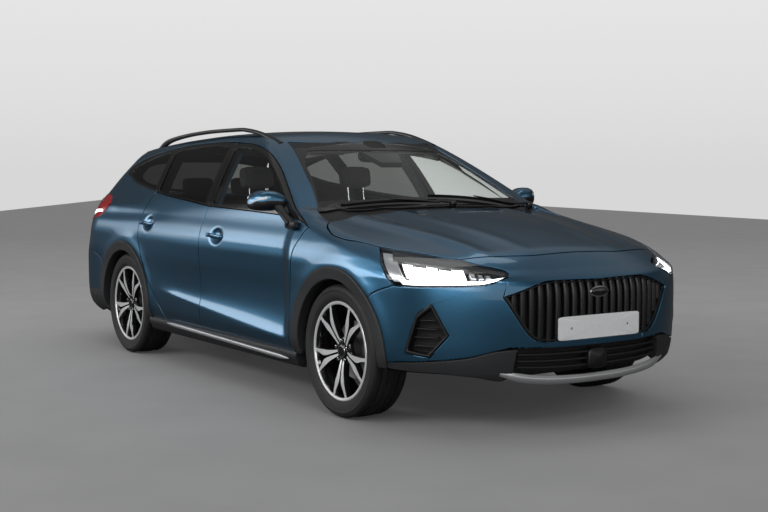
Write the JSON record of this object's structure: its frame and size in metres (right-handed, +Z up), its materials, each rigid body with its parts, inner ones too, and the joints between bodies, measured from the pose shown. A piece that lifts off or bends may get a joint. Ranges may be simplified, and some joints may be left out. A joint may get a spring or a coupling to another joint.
{
  "type": "station wagon",
  "caption": "Five-door raised station wagon with hollow cabin, hung doors and lids, steered front wheels, alloy wheels, roof rails and black arch trims.",
  "frame": {"origin": "on the ground, on the centre plane, midway between the nose and the tail", "axes": "+Z up, -Y towards the nose, +X towards the car's own left side"},
  "size_m": [1.9784, 4.69, 1.4959],
  "materials": {
    "paint": "metallic paint under clear coat, gloss",
    "gloss_black": "piano black",
    "black_plastic": "grained, satin",
    "liner": "matt",
    "silver": "satin silver",
    "lamp_clear": "clear, moulded",
    "lamp_red": "clear red, moulded",
    "glass_clear": "clear",
    "glass_dark": "privacy tint",
    "plate": "blank, satin",
    "bare_alloy": "finned",
    "cast_alloy": "as cast",
    "iron": "coated black",
    "steel": "dull",
    "dash_plastic": "soft grained",
    "cloth": "woven",
    "wheel_leather": "smooth",
    "tyre": "moulded rubber",
    "rim_alloy": "machined faces over gloss black"
  },
  "bodies": {
    "car": {"roof_panel": "paint", "side_frame_left": "paint", "side_frame_right": "paint", "floor_pan": "paint", "front_frame": "paint", "boot_floor": "paint", "front_wings": "paint", "front_bumper": "paint", "rear_bumper": "paint", "grille": "gloss_black", "cowl": "black_plastic", "wipers": "black_plastic", "roof_rails": "black_plastic", "arch_trims": "black_plastic", "sill_trims": "black_plastic", "wheel_liners": "liner", "skid_blade": "silver", "headlamps": "lamp_clear", "tail_lamps": "lamp_red", "windscreen": "glass_clear", "quarter_glass": "glass_dark", "front_plate": "plate", "radiator_pack": "bare_alloy", "engine": "cast_alloy", "front_subframe": "iron", "rear_axle": "iron", "exhaust": "steel", "fuel_tank": "liner", "dashboard": "dash_plastic", "seat_left": "cloth", "seat_right": "cloth", "rear_seat": "cloth"},
    "steering_wheel": {"steering_wheel": "wheel_leather"},
    "steer_left": {"knuckle_left": "iron"},
    "steer_right": {"knuckle_right": "iron"},
    "bonnet": {"bonnet": "paint"},
    "tailgate": {"tailgate": "paint", "tailgate_glass": "glass_dark", "tailgate_lamps": "lamp_red", "rear_plate": "plate"},
    "fuel_flap": {"fuel_flap": "paint"},
    "wheel_front_left": {"tyre_front_left": "tyre", "rim_front_left": "rim_alloy"},
    "wheel_front_right": {"tyre_front_right": "tyre", "rim_front_right": "rim_alloy"},
    "wheel_rear_left": {"tyre_rear_left": "tyre", "rim_rear_left": "rim_alloy"},
    "wheel_rear_right": {"tyre_rear_right": "tyre", "rim_rear_right": "rim_alloy"},
    "front_door_left": {"front_door_left": "paint", "front_glass_left": "glass_clear", "mirror_left": "paint"},
    "front_door_right": {"front_door_right": "paint", "front_glass_right": "glass_clear", "mirror_right": "paint"},
    "rear_door_left": {"rear_door_left": "paint", "rear_glass_left": "glass_dark"},
    "rear_door_right": {"rear_door_right": "paint", "rear_glass_right": "glass_dark"}
  },
  "joints": [
    {"name": "steer_left", "type": "hinge", "parent": "car", "child": "steer_left", "pos_m": [0.74, -1.42, 0.336], "axis": [0, 0, 1], "range_deg": [-33, 33]},
    {"name": "spin_front_left", "type": "hinge", "parent": "steer_left", "child": "wheel_front_left", "pos_m": [0.79, -1.42, 0.336], "axis": [1, 0, 0], "continuous": true},
    {"name": "spin_rear_left", "type": "hinge", "parent": "car", "child": "wheel_rear_left", "pos_m": [0.79, 1.28, 0.336], "axis": [1, 0, 0], "continuous": true},
    {"name": "front_door_left", "type": "hinge", "parent": "car", "child": "front_door_left", "pos_m": [0.915, -1.1, 0.6], "axis": [0, 0, -1], "range_deg": [0, 66]},
    {"name": "rear_door_left", "type": "hinge", "parent": "car", "child": "rear_door_left", "pos_m": [0.915, 0.1275, 0.6], "axis": [0, 0, -1], "range_deg": [0, 70]},
    {"name": "steer_right", "type": "hinge", "parent": "car", "child": "steer_right", "pos_m": [-0.74, -1.42, 0.336], "axis": [0, 0, 1], "range_deg": [-33, 33]},
    {"name": "spin_front_right", "type": "hinge", "parent": "steer_right", "child": "wheel_front_right", "pos_m": [-0.79, -1.42, 0.336], "axis": [1, 0, 0], "continuous": true},
    {"name": "spin_rear_right", "type": "hinge", "parent": "car", "child": "wheel_rear_right", "pos_m": [-0.79, 1.28, 0.336], "axis": [1, 0, 0], "continuous": true},
    {"name": "front_door_right", "type": "hinge", "parent": "car", "child": "front_door_right", "pos_m": [-0.915, -1.1, 0.6], "axis": [0, 0, 1], "range_deg": [0, 66]},
    {"name": "rear_door_right", "type": "hinge", "parent": "car", "child": "rear_door_right", "pos_m": [-0.915, 0.1275, 0.6], "axis": [0, 0, 1], "range_deg": [0, 70]},
    {"name": "steering_wheel", "type": "hinge", "parent": "car", "child": "steering_wheel", "pos_m": [0.37, -0.52, 0.85], "axis": [0, 0.9061, 0.4231], "range_deg": [-430, 430]},
    {"name": "bonnet", "type": "hinge", "parent": "car", "child": "bonnet", "pos_m": [0, -1.1, 0.95], "axis": [-1, 0, 0], "range_deg": [0, 50]},
    {"name": "tailgate", "type": "hinge", "parent": "car", "child": "tailgate", "pos_m": [0, 1.8, 1.395], "axis": [1, 0, 0], "range_deg": [0, 80]},
    {"name": "fuel_flap", "type": "hinge", "parent": "car", "child": "fuel_flap", "pos_m": [0.912, 1.447, 0.88], "axis": [0, 0, -1], "range_deg": [0, 100]}
  ],
  "couplings": [
    {"joint": "steer_right", "follows": "steer_left", "ratio": 1},
    {"joint": "steering_wheel", "follows": "steer_left", "ratio": 13}
  ]
}
